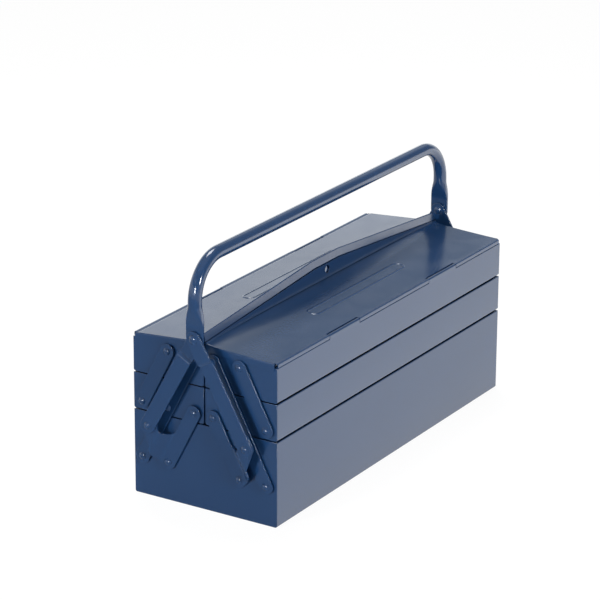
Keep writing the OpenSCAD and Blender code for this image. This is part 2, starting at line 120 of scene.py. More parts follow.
def floor_material():
    """White board: diffuse for the light that falls on it, and mostly its own white where
    the lens or the gloss sees it, so that only a weak shadow stays."""
    made, tree = blank_material("studio_floor")
    out = add_node(tree, "ShaderNodeOutputMaterial", 600, 0)
    mix = add_node(tree, "ShaderNodeMixShader", 400, 0)
    board = add_node(tree, "ShaderNodeBsdfDiffuse", 150, -80, in_Color=(FLOOR_WHITE,) * 3 + (1,))
    glow = add_node(tree, "ShaderNodeEmission", 150, -220, in_Strength=FLOOR_GLOW)
    path = add_node(tree, "ShaderNodeLightPath", -250, 200)
    seen = add_node(tree, "ShaderNodeMath", -50, 200, operation="ADD")
    seen_all = add_node(tree, "ShaderNodeMath", 100, 200, operation="ADD")
    share = add_node(tree, "ShaderNodeMath", 250, 200, operation="MULTIPLY")
    share.inputs[1].default_value = FLOOR_OWN
    tree.links.new(path.outputs["Is Camera Ray"], seen.inputs[0])
    tree.links.new(path.outputs["Is Glossy Ray"], seen.inputs[1])
    tree.links.new(seen.outputs[0], seen_all.inputs[0])
    tree.links.new(path.outputs["Is Transmission Ray"], seen_all.inputs[1])
    tree.links.new(seen_all.outputs[0], share.inputs[0])
    tree.links.new(share.outputs[0], mix.inputs[0])
    tree.links.new(board.outputs[0], mix.inputs[1])
    tree.links.new(glow.outputs[0], mix.inputs[2])
    tree.links.new(mix.outputs[0], out.inputs[0])
    return made


def card_material(name, strength, colour, far_strength=None):
    """A lit card, even all over or growing brighter along -Y from the box's front wall; its dim part by the
    wall is painted shade of the box's shadow.
    """
    made, tree = blank_material(name)
    out = add_node(tree, "ShaderNodeOutputMaterial", 300, 0)
    glow = add_node(tree, "ShaderNodeEmission", 0, 0, in_Strength=strength, in_Color=colour + (1,))
    if far_strength:
        place = add_node(tree, "ShaderNodeTexCoord", -700, 0)
        split = add_node(tree, "ShaderNodeSeparateXYZ", -500, 0)
        grow = add_node(tree, "ShaderNodeMapRange", -250, 0, in_From_Min=FADE_NEAR, in_From_Max=FADE_FAR,
                        in_To_Min=strength, in_To_Max=far_strength)
        tree.links.new(place.outputs["Object"], split.inputs[0])
        tree.links.new(split.outputs["Y"], grow.inputs["Value"])
        tree.links.new(grow.outputs["Result"], glow.inputs["Strength"])
    tree.links.new(glow.outputs[0], out.inputs[0])
    return made


def gloss_card(name, x, y, z, strength, colour, far_strength=None):
    """A card that the lens doesn't see and that throws neither light nor shadow."""
    card = flat_sheet(name, x, y, z, card_material(name, strength, colour, far_strength))
    for sight in ("camera", "diffuse", "transmission", "volume_scatter", "shadow"):
        setattr(card, f"visible_{sight}", False)
    return card


flat_sheet("studio_floor", FLOOR_REACH, FLOOR_REACH, FLOOR_DROP, floor_material())
# The bright card's dim strip by the front wall is painted shade: the box's shadow on the floor as the gloss
# sees it. Further off it grows brighter toward the horizon.
gloss_card("bright_card", x=(BOX_LEFT, 4.5), y=(-3.4, BOX_FRONT), z=0.0006, strength=1.68,
           colour=(0.98, 1.0, 1.02), far_strength=2.7)
gloss_card("spark_card", x=-2.9, y=(-0.85, -0.3), z=(0.5, 1.1), strength=48, colour=(1.0, 1.0, 1.0))
# The dim card at the left is painted shade. The gloss of the end panels sees it in place of the white floor,
# as floor that lies in the box's shadow.
gloss_card("floor_shade_card", x=(-2.0, BOX_LEFT), y=(-0.9, 1.6), z=0.0004, strength=0.45, colour=(0.88, 0.98, 1.05))

# What the gloss sees of the surround by the height of its direction, behind the box
# and before it: stops of (place, brightness, blue).
SKY_BEHIND = ((0.0, 1.6, 0.04), (0.27, 1.58, 0.04), (0.345, 0.45, 0.16), (0.385, 0.24, 0.22),
              (0.42, 0.55, 0.14), (0.46, 1.2, 0.08), (0.55, 1.1, 0.08), (0.62, 0.42, 0.16), (0.9, 0.8, 0.05))
SKY_BEFORE = ((0.0, 1.6, 0.02), (0.09, 0.40, 0.1), (0.5, 0.38, 0.12), (0.62, 0.36, 0.12), (0.9, 0.8, 0.05))
BEFORE_Y, BEHIND_Y = -0.25, 0.1
RAMP_SCALE = 2

world = bpy.data.worlds.new("studio_surround")
bpy.context.scene.world = world
world.use_nodes = True
sky = world.node_tree
sky.nodes.clear()
sky_out = add_node(sky, "ShaderNodeOutputWorld", 800, 0)
sky_mix = add_node(sky, "ShaderNodeMixShader", 600, 0)
sky_seen_mix = add_node(sky, "ShaderNodeMixShader", 700, -150)
sky_white = add_node(sky, "ShaderNodeBackground", 350, -300, in_Color=(1, 1, 1, 1), in_Strength=1.0)
sky_seen = add_node(sky, "ShaderNodeMath", 500, 350, operation="ADD")
sky_soft = add_node(sky, "ShaderNodeBackground", 350, -150, in_Strength=AMBIENT)
sky_gloss = add_node(sky, "ShaderNodeBackground", 350, 50, in_Strength=RAMP_SCALE)
sky_path = add_node(sky, "ShaderNodeLightPath", 350, 350)
sky_way = add_node(sky, "ShaderNodeTexCoord", -500, 50)
sky_split = add_node(sky, "ShaderNodeSeparateXYZ", -300, 50)


def height_ramp(x, y, stops):
    """A ramp over the height of the direction. Its colours are written at a share of their
    brightness, so that none is above 1, and the surround's strength makes up for it. Blue
    takes a share of red away and adds as much blue."""
    made = add_node(sky, "ShaderNodeValToRGB", x, y)
    while len(made.color_ramp.elements) < len(stops):
        made.color_ramp.elements.new(0.5)
    for spot, (place, value, blue) in zip(made.color_ramp.elements, stops):
        spot.position = place
        grey = value / RAMP_SCALE
        spot.color = (grey * (1 - blue), grey, grey * (1 + blue), 1)
    sky.links.new(sky_split.outputs["Z"], made.inputs[0])
    return made


sky_behind = height_ramp(-50, 150, SKY_BEHIND)
sky_before = height_ramp(-50, -100, SKY_BEFORE)
sky_side = add_node(sky, "ShaderNodeMapRange", -50, -350, in_From_Min=BEFORE_Y, in_From_Max=BEHIND_Y)
sky_ramp = add_node(sky, "ShaderNodeMix", 200, 50, data_type="RGBA")
sky.links.new(sky_split.outputs["Y"], sky_side.inputs["Value"])
sky.links.new(sky_side.outputs["Result"], sky_ramp.inputs[0])
sky.links.new(sky_before.outputs[0], sky_ramp.inputs[6])
sky.links.new(sky_behind.outputs[0], sky_ramp.inputs[7])
sky.links.new(sky_way.outputs["Generated"], sky_split.inputs[0])
sky.links.new(sky_ramp.outputs[2], sky_gloss.inputs["Color"])
sky.links.new(sky_path.outputs["Is Glossy Ray"], sky_mix.inputs[0])
sky.links.new(sky_soft.outputs[0], sky_mix.inputs[1])
sky.links.new(sky_gloss.outputs[0], sky_mix.inputs[2])
sky.links.new(sky_path.outputs["Is Camera Ray"], sky_seen.inputs[0])
sky.links.new(sky_path.outputs["Is Transmission Ray"], sky_seen.inputs[1])
sky.links.new(sky_seen.outputs[0], sky_seen_mix.inputs[0])
sky.links.new(sky_mix.outputs[0], sky_seen_mix.inputs[1])
sky.links.new(sky_white.outputs[0], sky_seen_mix.inputs[2])
sky.links.new(sky_seen_mix.outputs[0], sky_out.inputs[0])


def softbox(name, spot, size, power):
    """A square lamp at spot, turned so that its face looks at the middle of the box."""
    made = bpy.data.objects.new(name, bpy.data.lights.new(name, "AREA"))
    made.data.shape = "SQUARE"
    made.data.size = size
    made.data.energy = power
    bpy.context.scene.collection.objects.link(made)
    away = np.array(spot, float) - np.array(LAMP_AIM, float)
    away /= np.linalg.norm(away)
    right = np.cross([0, 0, 1], away)
    right /= np.linalg.norm(right)
    stand(made, right, np.cross(away, right), away, spot)
    return made


softbox("front_softbox", spot=(-1.0, -2.4, 1.1), size=0.5, power=46)
left_softbox = softbox("left_softbox", spot=(-2.9, 0.75, 0.55), size=0.4, power=44)
left_softbox.visible_glossy = False
softbox("top_softbox", spot=(0.6, 0.5, 2.6), size=1.0, power=38)

# ---- Enamel ----
# Gloss stove enamel, sprayed and baked on the bare steel before riveting. It has a
# faint orange peel, and the thin sheet under it is never quite flat.


def add_inputs(group, kind, values):
    """Gives a node group an input of that kind for each name, with its first value."""
    for name, value in values.items():
        socket = group.interface.new_socket(name=name, in_out="INPUT", socket_type=kind)
        socket.default_value = value


def enamel_skin_group():
    """Normal of sprayed enamel: fine noise for the peel and broad noise for the sheet's
    own waves, both in metres of depth, with their sizes as noise scales."""
    made = bpy.data.node_groups.new("enamel_skin", "ShaderNodeTree")
    add_inputs(made, "NodeSocketFloat", {"Peel size": 450.0, "Peel depth": 0.00002,
                                         "Wave size": 9.0, "Wave depth": 0.0002})
    made.interface.new_socket(name="Normal", in_out="OUTPUT", socket_type="NodeSocketVector")
    took = add_node(made, "NodeGroupInput", -700, 0)
    gave = add_node(made, "NodeGroupOutput", 500, 0)
    place = add_node(made, "ShaderNodeTexCoord", -700, 250)
    peel = add_node(made, "ShaderNodeTexNoise", -400, 250, in_Detail=1.0, in_Roughness=0.4)
    wave = add_node(made, "ShaderNodeTexNoise", -400, -50, in_Detail=0.0, in_Roughness=0.3)
    broad = add_node(made, "ShaderNodeBump", -50, -100)
    fine = add_node(made, "ShaderNodeBump", 200, 100)
    made.links.new(place.outputs["Object"], peel.inputs["Vector"])
    made.links.new(place.outputs["Object"], wave.inputs["Vector"])
    made.links.new(took.outputs["Peel size"], peel.inputs["Scale"])
    made.links.new(took.outputs["Wave size"], wave.inputs["Scale"])
    made.links.new(took.outputs["Wave depth"], broad.inputs["Distance"])
    made.links.new(took.outputs["Peel depth"], fine.inputs["Distance"])
    made.links.new(wave.outputs["Fac"], broad.inputs["Height"])
    made.links.new(peel.outputs["Fac"], fine.inputs["Height"])
    made.links.new(broad.outputs["Normal"], fine.inputs["Normal"])
    made.links.new(fine.outputs["Normal"], gave.inputs["Normal"])
    return made


def enamel_tone_group():
    """Colour and gloss of baked enamel: the tone drifts between a deep and a plain blue,
    and fingers leave the gloss a little duller in patches."""
    made = bpy.data.node_groups.new("enamel_tone", "ShaderNodeTree")
    add_inputs(made, "NodeSocketColor", {"Deep": (0.009, 0.036, 0.104, 1), "Plain": (0.012, 0.044, 0.124, 1)})
    add_inputs(made, "NodeSocketFloat", {"Drift size": 6.0, "Gloss low": 0.14,
                                         "Gloss high": 0.20, "Smear size": 28.0})
    made.interface.new_socket(name="Color", in_out="OUTPUT", socket_type="NodeSocketColor")
    made.interface.new_socket(name="Roughness", in_out="OUTPUT", socket_type="NodeSocketFloat")
    took = add_node(made, "NodeGroupInput", -800, 0)
    gave = add_node(made, "NodeGroupOutput", 500, 0)
    place = add_node(made, "ShaderNodeTexCoord", -800, 300)
    drift = add_node(made, "ShaderNodeTexNoise", -500, 250, in_Detail=3.0)
    smear = add_node(made, "ShaderNodeTexNoise", -500, -100, in_Detail=4.0, in_Distortion=0.6)
    tone = add_node(made, "ShaderNodeMix", 0, 200, data_type="RGBA")
    gloss = add_node(made, "ShaderNodeMapRange", 0, -100, in_From_Min=0.35, in_From_Max=0.7)
    made.links.new(place.outputs["Object"], drift.inputs["Vector"])
    made.links.new(place.outputs["Object"], smear.inputs["Vector"])
    made.links.new(took.outputs["Drift size"], drift.inputs["Scale"])
    made.links.new(took.outputs["Smear size"], smear.inputs["Scale"])
    made.links.new(drift.outputs["Fac"], tone.inputs["Factor"])
    made.links.new(took.outputs["Deep"], tone.inputs["A"])
    made.links.new(took.outputs["Plain"], tone.inputs["B"])
    made.links.new(took.outputs["Gloss low"], gloss.inputs["To Min"])
    made.links.new(took.outputs["Gloss high"], gloss.inputs["To Max"])
    made.links.new(smear.outputs["Fac"], gloss.inputs["Value"])
    made.links.new(tone.outputs["Result"], gave.inputs["Color"])
    made.links.new(gloss.outputs["Result"], gave.inputs["Roughness"])
    return made


enamel_skin = enamel_skin_group()
enamel_tone = enamel_tone_group()


def enamel(name, skin, tone):
    """A material of blue enamel; skin and tone are input values for the two node groups."""
    made, tree = blank_material(name)
    out = add_node(tree, "ShaderNodeOutputMaterial", 500, 0)
    shader = add_node(tree, "ShaderNodeBsdfPrincipled", 200, 0, in_IOR=1.5)
    coat = add_node(tree, "ShaderNodeGroup", -150, -200, node_tree=enamel_skin)
    paint = add_node(tree, "ShaderNodeGroup", -150, 150, node_tree=enamel_tone)
    for node, values in ((coat, skin), (paint, tone)):
        for key, value in values.items():
            node.inputs[key].default_value = value
    tree.links.new(paint.outputs["Color"], shader.inputs["Base Color"])
    tree.links.new(paint.outputs["Roughness"], shader.inputs["Roughness"])
    tree.links.new(coat.outputs["Normal"], shader.inputs["Normal"])
    tree.links.new(shader.outputs[0], out.inputs[0])
    return made


# ---- Base tray ----
# One deep trough of 1 mm sheet steel, folded up along both sides, with each rim
# turned in to a flat hem. A pressed panel closes each end, flanged into the trough.
MM = 0.001  # lengths from here on are in millimetres, and WELD and SLIVER in metres
SHEET = 1.0
HALF_LEN, HALF_W = 265.0, 100.0
BASE_H = 106.5
BEND_R, RIM_R = 2.5, 0.6
HEM, HEM_GAP, HEM_SIDE = 8.0, 0.4, 3.2
SEAM, FLANGE_LONG, FLANGE_T = 1.5, 10.0, 0.98
PANEL_EDGE = 0.3
WELD, SLIVER = 2e-6, 1e-7
FILL_ROUNDING, FILL_INSET, FILL_CLEAR, LEAST_LEAN = 1e-7, 1.2, 0.55, 0.3
ENDS = ((-1, "left"), (1, "right"))

tray_enamel = enamel("tray_enamel", {"Wave size": 7.0, "Wave depth": 0.00045}, {})


def arc(centre, radius, start, stop, step=10):
    """Points on a circle from the start angle to the stop angle, about a step apart, all
    in degrees."""
    count = max(3, int(abs(stop - start) / step) + 1)
    a = np.radians(np.linspace(start, stop, count))
    return np.array(centre) + radius * np.stack([np.cos(a), np.sin(a)], 1)


def moved_aside(line, d, closed=False):
    """A line of points moved to its right by d. Each point goes along the mean of its two
    runs' normals, longer at a corner, so that straight runs stay d apart."""
    if closed:
        ahead, behind = np.roll(line, -1, 0) - line, line - np.roll(line, 1, 0)
    else:
        runs = np.diff(line, axis=0)
        ahead, behind = np.vstack([runs, runs[-1:]]), np.vstack([runs[:1], runs])
    ahead = ahead / np.linalg.norm(ahead, axis=1, keepdims=True)
    behind = behind / np.linalg.norm(behind, axis=1, keepdims=True)
    mean = np.stack([ahead[:, 1] + behind[:, 1], -ahead[:, 0] - behind[:, 0]], 1)
    mean /= np.linalg.norm(mean, axis=1, keepdims=True)
    lean = np.maximum((mean * np.stack([ahead[:, 1], -ahead[:, 0]], 1)).sum(1), LEAST_LEAN)
    return line + d * mean / lean[:, None]


def sheet_section(line, thick=SHEET):
    """Closed outline of a sheet whose middle follows the line: the line moved half the
    thickness to one side, then back along the other."""
    return np.vstack([moved_aside(line, thick / 2), moved_aside(line, -thick / 2)[::-1]])


def grid_faces(rows, cols, around=False):
    """Quads of a grid of points numbered row by row; around joins the last column to the first."""
    i = np.arange(rows - 1)[:, None] * cols
    j = np.arange(cols if around else cols - 1)[None, :]
    k = (j + 1) % cols
    return np.stack([i + j, i + k, i + cols + k, i + cols + j], -1).reshape(-1, 4).tolist()


def carried(rings):
    """A closed form from n rings of m points: quads from ring to ring, and flat caps."""
    n, m = rings.shape[:2]
    caps = [list(range(m))[::-1], list(range((n - 1) * m, n * m))]
    return rings.reshape(-1, 3), grid_faces(n, m, around=True) + caps


def along_x(section, xs, heights=0.0):
    """A section in (y, z) carried along X through the given places, raised by the heights."""
    xs = np.asarray(xs, float)
    rings = np.empty((len(xs), len(section), 3))
    rings[:, :, 0] = xs[:, None]
    rings[:, :, 1:] = section[None]
    rings[:, :, 2] += np.broadcast_to(heights, xs.shape)[:, None]
    return carried(rings)


def mirrored(parts, across_x=1, across_y=1):
    """The same parts with X or Y turned over, where the factor is -1."""
    return [(points * [across_x, across_y, 1], faces) for points, faces in parts]


def finished(name, parts, material, body, nodes, crease=32):
    """Joins parts (points, faces) into one piece, welds touching points, turns every shell
    outward, and smooths all edges flatter than the crease angle, in degrees."""
    starts = np.cumsum([0] + [len(points) for points, _ in parts])
    faces = [[v + start for v in face] for (_, fs), start in zip(parts, starts) for face in fs]
    points = np.vstack([points for points, _ in parts]) * MM
    mesh = bpy.data.meshes.new(name)
    mesh.from_pydata(points.tolist(), [], faces)
    work = bmesh.new()
    work.from_mesh(mesh)
    bmesh.ops.remove_doubles(work, verts=work.verts, dist=WELD)
    bmesh.ops.dissolve_degenerate(work, edges=work.edges, dist=SLIVER)
    bmesh.ops.recalc_face_normals(work, faces=work.faces)
    work.to_mesh(mesh)
    work.free()
    mesh.shade_smooth()
    mesh.set_sharp_from_angle(angle=np.radians(crease))
    mesh.materials.append(material)
    made = bpy.data.objects.new(name, mesh)
    bpy.context.scene.collection.objects.link(made)
    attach(made, body)
    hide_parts(*nodes)
    return made


def tray_line(y0, y1, z0, height):
    """Middle line of a folded tray: down the hem, over the rolled rim, down the wall,
    round the floor's bends and up the other side."""
    rim_in, hem_in, bend = RIM_R + SHEET / 2, 2 * RIM_R + SHEET / 2, BEND_R - SHEET / 2
    rim_z, hem_z = z0 + height - rim_in, z0 + height - HEM
    left = [[[y0 + hem_in, hem_z]], arc((y0 + rim_in, rim_z), RIM_R, 0, 180, 20),
            arc((y0 + BEND_R, z0 + BEND_R), bend, 180, 270)]
    right = [arc((y1 - BEND_R, z0 + BEND_R), bend, 270, 360),
             arc((y1 - rim_in, rim_z), RIM_R, 0, 180, 20), [[y1 - hem_in, hem_z]]]
    return np.vstack(left + right)


def tray_trough(y0, y1, z0, height):
    """The tray's section carried from one end panel to the other."""
    section = sheet_section(tray_line(y0, y1, z0, height))
    return along_x(section, np.linspace(SHEET - HALF_LEN, HALF_LEN - SHEET, 9))


def inside(points, outline):
    """Which points lie in the outline: a ray to the right crosses it an odd number of times."""
    a, b = outline, np.roll(outline, -1, 0)
    x, y = points[:, :1], points[:, 1:]
    spans = (a[:, 1] > y) != (b[:, 1] > y)
    rise = np.where(b[:, 1] == a[:, 1], 1e-12, b[:, 1] - a[:, 1])
    return (spans & (x < (b[:, 0] - a[:, 0]) * (y - a[:, 1]) / rise + a[:, 0])).sum(1) % 2 == 1


def plate(loops, low, high, edge, pitch=None):
    """A plate between two levels. Each loop of its outline (holes run the other way) is
    carried round its edge: inward by edge * (1 - cos a) and up by edge * sin a. The two
    flats are filled from the innermost rings and a lattice of points at the pitch."""
    a = np.radians([0, 30, 60, 90])
    inward, rise, flat_in = edge * (1 - np.cos(a)), edge * (1 - np.sin(a)), [edge * FILL_INSET]
    inset = np.concatenate([flat_in, inward[::-1], inward, flat_in])
    height = np.concatenate([[low], low + rise[::-1], high - rise, [high]])
    points, faces, rims = [], [], []
    count = 0
    for loop in loops:
        rings = np.stack([np.column_stack([moved_aside(loop, -d, True), np.full(len(loop), h)])
                          for d, h in zip(inset, height)])
        n, m = rings.shape[:2]
        points.append(rings.reshape(-1, 3))
        faces += (np.array(grid_faces(n, m, around=True)) + count).tolist()
        rims.append((rings[0, :, :2], count, count + (n - 1) * m))
        count += n * m
    rim = np.vstack([r[0] for r in rims])
    flat = rim
    if pitch:
        box = [np.arange(rim[:, i].min() + pitch / 2, rim[:, i].max(), pitch) for i in (0, 1)]
        lattice = np.stack(np.meshgrid(*box), -1).reshape(-1, 2)
        clear = np.sqrt(((lattice[:, None] - rim[None]) ** 2).sum(-1)).min(1) > pitch * FILL_CLEAR
        lattice = lattice[clear & inside(lattice, rims[0][0])]
        flat = np.vstack([rim, lattice])
    starts = np.cumsum([0] + [len(r[0]) for r in rims])
    bounds = [list(range(first, last)) for first, last in zip(starts[:-1], starts[1:])]
    _, _, filled, sources, _, _ = delaunay_2d_cdt(flat.tolist(), [], bounds, 2, FILL_ROUNDING)
    first = np.array([ids[0] for ids in sources])
    tris = first[np.array(filled)]
    inner = len(flat) - len(rim)
    for level, h in ((1, low), (2, high)):
        at = np.concatenate([np.arange(len(r[0])) + r[level] for r in rims] + [np.arange(inner) + count])
        points.append(np.column_stack([flat[len(rim):], np.full(inner, h)]))
        count += inner
        faces += at[tris].tolist()
    return np.vstack(points), faces


def stood(part, end, side=1, base=(0.0, 0.0), lean=0.0):
    """Stands a plate made in (across, along, out) against an end panel: turned by lean
    about its own origin, moved to base in (y, z), and mirrored to its side and end."""
    points, faces = part
    across, along, out = points.T
    c, s = np.cos(np.radians(lean)), np.sin(np.radians(lean))
    y = base[0] + across * c - along * s
    z = base[1] + across * s + along * c
    return np.stack([end * (HALF_LEN + out), side * y, z], 1), faces


def end_outline(y0, y1, z0, height, crown=()):
    """A panel with its lower corners rounded; crown is the run of points along its top."""
    top = crown if len(crown) else [[y1, z0 + height], [y0, z0 + height]]
    return np.vstack([arc((y0 + BEND_R, z0 + BEND_R), BEND_R, 180, 270),
                      arc((y1 - BEND_R, z0 + BEND_R), BEND_R, 270, 360), top])


def end_panel(end, side, y0, y1, z0, height, hem_z, crown=()):
    """End panel with its two stiffeners: a flange round the inside of the trough, and a
    hem folded in along the top."""
    panel = stood(plate([end_outline(y0, y1, z0, height, crown)], -SHEET, 0.0, PANEL_EDGE), end, side)
    seam_z, hem_top = z0 + height - HEM - HEM_GAP, z0 + height - HEM_GAP
    seam = [[[y0 + SEAM, seam_z]], arc((y0 + BEND_R, z0 + BEND_R), BEND_R - SEAM, 180, 270, 20),
            arc((y1 - BEND_R, z0 + BEND_R), BEND_R - SEAM, 270, 360, 20), [[y1 - SEAM, seam_z]]]
    inner_face = HALF_LEN - SHEET
    flange = along_x(sheet_section(np.vstack(seam), FLANGE_T), [inner_face - FLANGE_LONG, inner_face])
    low_y, high_y = y0 + HEM_SIDE, y1 - HEM_SIDE
    hem_box = np.array([[low_y, hem_z], [high_y, hem_z], [high_y, hem_top], [low_y, hem_top]])
    hem = along_x(hem_box, [inner_face - SHEET, inner_face])
    return [panel] + mirrored([flange, hem], end, side)


finished("base_trough_folding", [tray_trough(-HALF_W, HALF_W, 0, BASE_H)],
         tray_enamel, "base", ["base_trough"])
for end, hand in ENDS:
    finished(f"base_{hand}_panel", end_panel(end, 1, -HALF_W, HALF_W, 0, BASE_H, BASE_H - HEM),
             tray_enamel, "base", [f"base_{hand}_end"])

# ---- Middle and top trays ----
# Four shallow trays of the same make, two on each side, stacked with small gaps.
# The top trays' end panels run up under the lid's slope.
MID_Z, MID_H = 108.0, 45.3
TOP_Z, TOP_H = 154.8, 43.2
INNER_Y = 1.0
HINGE_Y, HINGE_Z, LID_Z, LID_RISE = 97.5, 200.9, 203.4, 7.3
MID_PIVOT_Z, TOP_PIVOT_Z = 119.8, 189.6
HEM_OVER_PIVOT = 4.4
CROWN_Y, CROWN_DROP = 92.0, 1.35
SIDES = ((-1, "front"), (1, "rear"))
LID_POWER = {"front": 1.2, "rear": 1.03}
LID_FOOT = {"front": 2.5, "rear": 0.0}
LID_SWELL = {"front": 3.0, "rear": 0.0}


def swell(x, word):
    """Extra height of the ridge's foot, one less the fourth power of the way to the end."""
    return LID_SWELL[word] * (1 - np.minimum(np.abs(x) / HALF_LEN, 1) ** 4)


def lid_top(x, y, word):
    """Height of a lid's outer face: it climbs with a power of the way u from the hinge,
    and with the ninth power of u up to the ridge's foot, more so where that swells."""
    u = np.maximum(HINGE_Y - y, 0) / HINGE_Y
    rise = LID_RISE - LID_FOOT[word]
    return LID_Z + rise * u ** LID_POWER[word] + (LID_FOOT[word] + swell(x, word)) * u ** 9


crown_y = np.linspace(CROWN_Y, INNER_Y, 16)
for side, word in SIDES:
    slope = np.column_stack([crown_y, lid_top(HALF_LEN, crown_y, word) - CROWN_DROP])
    top_crown = np.vstack([[[HALF_W, TOP_Z + TOP_H], [CROWN_Y, TOP_Z + TOP_H]], slope])
    levels = (("mid", MID_Z, MID_H, MID_PIVOT_Z, ()), ("top", TOP_Z, TOP_H, TOP_PIVOT_Z, top_crown))
    for level, z0, height, pivot, crown in levels:
        body = f"{word}_{level}_tray"
        finished(f"{word}_{level}_folding", mirrored([tray_trough(INNER_Y, HALF_W, z0, height)], 1, side),
                 tray_enamel, body, [f"{word}_{level}_trough"])
        hem_z = max(z0 + height - HEM, pivot + HEM_OVER_PIVOT)
        for end, hand in ENDS:
            panel = end_panel(end, side, INNER_Y, HALF_W, z0, height, hem_z, crown)
            finished(f"{word}_{level}_{hand}_panel", panel,
                     tray_enamel, body, [f"{word}_{level}_{hand}_end"])

# ---- Hinges ----
# Each lid turns on a zinc-plated wire nearly as long as the box. The lid's edge and
# the tray's wall are rolled round it in turn, in three and two barrels.
BARREL_R, WIRE_R, WIRE_ROUND = 2.5, 1.4, 0.5
MID_KNUCKLE, TRAY_KNUCKLE, KNUCKLE_GAP = 82.0, 67.0, 1.0
HINGE_END = 262.5
tray_span = (MID_KNUCKLE + KNUCKLE_GAP, MID_KNUCKLE + KNUCKLE_GAP + TRAY_KNUCKLE)
curl = BARREL_R - SHEET / 2
tray_curl = np.vstack([[[HALF_W - SHEET / 2, TOP_Z + TOP_H - SHEET]],
                       arc((HINGE_Y, HINGE_Z), curl, 0, 300, 12)])


def zinc_material():
    """Bright zinc plate on drawn wire: grey metal with fine lengthwise draw marks."""
    made, tree = blank_material("zinc_plate")
    out = add_node(tree, "ShaderNodeOutputMaterial", 500, 0)
    shader = add_node(tree, "ShaderNodeBsdfPrincipled", 200, 0, in_Metallic=1.0)
    place = add_node(tree, "ShaderNodeTexCoord", -900, 0)
    turned = add_node(tree, "ShaderNodeMapping", -700, 0, in_Scale=(3, 900, 900))
    marks = add_node(tree, "ShaderNodeTexNoise", -450, 0, in_Scale=1.0, in_Detail=3.0)
    tint = add_node(tree, "ShaderNodeValToRGB", -150, 150)
    tint.color_ramp.elements[0].color = (0.20, 0.21, 0.22, 1)
    tint.color_ramp.elements[1].color = (0.38, 0.39, 0.41, 1)
    dull = add_node(tree, "ShaderNodeMapRange", -150, -150, in_To_Min=0.32, in_To_Max=0.5)
    tree.links.new(place.outputs["Object"], turned.inputs[0])
    tree.links.new(turned.outputs[0], marks.inputs["Vector"])
    tree.links.new(marks.outputs["Fac"], tint.inputs[0])
    tree.links.new(marks.outputs["Fac"], dull.inputs["Value"])
    tree.links.new(tint.outputs[0], shader.inputs["Base Color"])
    tree.links.new(dull.outputs["Result"], shader.inputs["Roughness"])
    tree.links.new(shader.outputs[0], out.inputs[0])
    return made


def turned_part(profile, steps):
    """A part turned about X: the profile's (x, radius) pairs carried round a circle, with
    points on the axis welded into poles."""
    a = np.radians(np.arange(steps) * 360 / steps)
    x, r = np.asarray(profile, float).T[:, :, None]
    rings = np.stack([x + 0 * a, r * np.cos(a), r * np.sin(a)], -1)
    return rings.reshape(-1, 3), grid_faces(len(x), steps, around=True)


zinc_plate = zinc_material()
wire_end = arc((HINGE_END - WIRE_ROUND, WIRE_R - WIRE_ROUND), WIRE_ROUND, 0, 90, 22)
wire_profile = np.vstack([[[-HINGE_END, 0]], wire_end * [-1, 1], wire_end[::-1], [[HINGE_END, 0]]])
for side, word in SIDES:
    points, faces = turned_part(wire_profile, 24)
    finished(f"{word}_lid_wire", [(points + [0, side * HINGE_Y, HINGE_Z], faces)], zinc_plate,
             f"{word}_top_tray", [f"{word}_hinge_wire"])
    barrels = [along_x(sheet_section(tray_curl), np.linspace(*tray_span, 3))]
    finished(f"{word}_tray_barrels", mirrored(barrels, 1, side) + mirrored(barrels, -1, side),
             tray_enamel, f"{word}_top_tray", [f"{word}_top_knuckles"])

# ---- Lids ----
# Two pressed sheets that slope up to the middle. Their ends are bent down over the
# end panels, their inner edges stand up as ridges, and a plain bead stiffens each.
LID_HALF = 266.2
CUT_BACK = 94.4
FLANGE_DROP, FLANGE_Y = 9.0, 96.5
RIDGE_UP, RIDGE_END_UP, RIDGE_LEAST, RIDGE_FLAT = 30.3, 10.5, 1.0, 29.0
RIDGE_Y = {"front": 2.6, "rear": -1.0}
RIDGE_DROP = {"front": 10.2, "rear": 0.0}
RIDGE_BACK = {"front": 0.0, "rear": 1.2}
RIDGE_TRIM = {"front": 0.0, "rear": RIM_R + SHEET / 2}
RIDGE_HEM, RIDGE_HEM_OUT = 9.6, 1.15
RIDGE_EDGE, RIDGE_PITCH = 0.2, 6.0
BEND = 1.5
BEAD_HALF, BEAD_W, BEAD_RIM, BEAD_RISE, BEAD_Y = 98.0, 18.0, 2.8, 0.65, 46.0
FINE, FINE_X, FINE_YS = 0.5, 86.0, (32.0, 60.0)
CREASE = {"front": 0.0, "rear": 0.6}
ROLL_FROM = {"front": 89, "rear": 105}
HIGH_CORNER, HIGH_R = (98.5, 201.85), 1.0
LOW_CORNER, LOW_R = (99.47, 198.93), 0.03
PADLOCK_R, PADLOCK_Z = 5.0, 222.2
ridge_xs = np.linspace(-LID_HALF, LID_HALF, 41)
hem_xs = np.concatenate([np.linspace(-LID_HALF, -RIDGE_FLAT, 12), np.linspace(RIDGE_FLAT, LID_HALF, 12)])

lid_enamel = enamel("lid_enamel", {"Wave size": 8.0, "Wave depth": 0.0003},
                    {"Gloss low": 0.15, "Gloss high": 0.21})


def bead(x, y):
    """Rise of the pressed bead: a rounded rib along the edge of a long slot shape,
    cos-shaped across, by the distance to that edge."""
    reach = np.hypot(np.maximum(np.abs(x) - BEAD_HALF, 0), y - BEAD_Y)
    off = np.clip(np.abs(reach - (BEAD_W - BEAD_RIM) / 2) / (BEAD_RIM / 2), 0, 1)
    return BEAD_RISE * (0.5 + 0.5 * np.cos(np.pi * off))


def eased(t):
    """A smooth step, t * t * (3 - 2 * t) between 0 and 1."""
    t = np.clip(t, 0, 1)
    return t * t * (3 - 2 * t)


def crease(y, deep):
    """How far the lid dips just inside its hinge, by a smooth step."""
    return deep * eased((np.asarray(y) - CROWN_Y) / (CUT_BACK - CROWN_Y))


